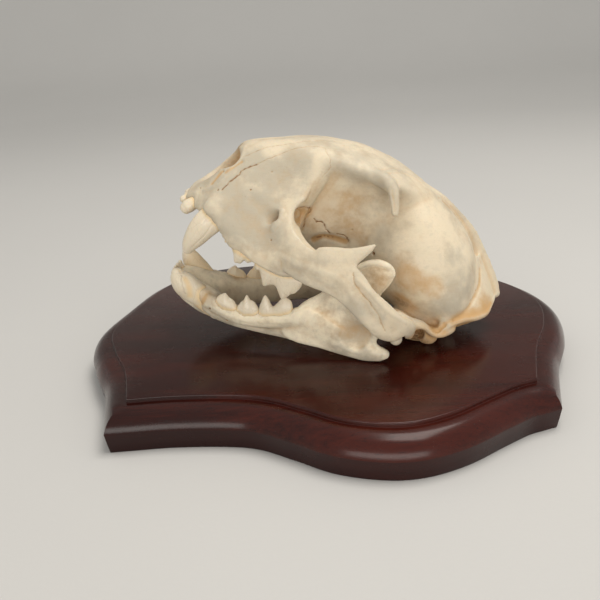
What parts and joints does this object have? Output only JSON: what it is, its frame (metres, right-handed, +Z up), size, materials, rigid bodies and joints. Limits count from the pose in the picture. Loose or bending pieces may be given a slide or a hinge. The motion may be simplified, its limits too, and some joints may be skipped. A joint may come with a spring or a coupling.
{
  "type": "mounted cougar skull",
  "caption": "Life-size big-cat skull with its lower jaw slightly open, lying on a shaped, moulded wooden plaque.",
  "frame": {"origin": "middle of the plaque's underside", "axes": "+X towards the back of the skull, along the plaque's length; +Y towards the skull's right side; +Z up"},
  "size_m": [0.3015, 0.2589, 0.1433],
  "materials": {
    "wood": "dark mahogany stain under glossy lacquer",
    "bone": "dry ivory bone, satin, with glossier enamel on the teeth",
    "jaw_bone": "dry ivory bone, satin, with glossier enamel on the teeth"
  },
  "bodies": {
    "root": {"plaque": "wood", "cranium": "bone", "cheek_arch_left": "bone", "cheek_arch_right": "bone", "jaw_left": "jaw_bone", "jaw_right": "jaw_bone"}
  },
  "joints": []
}
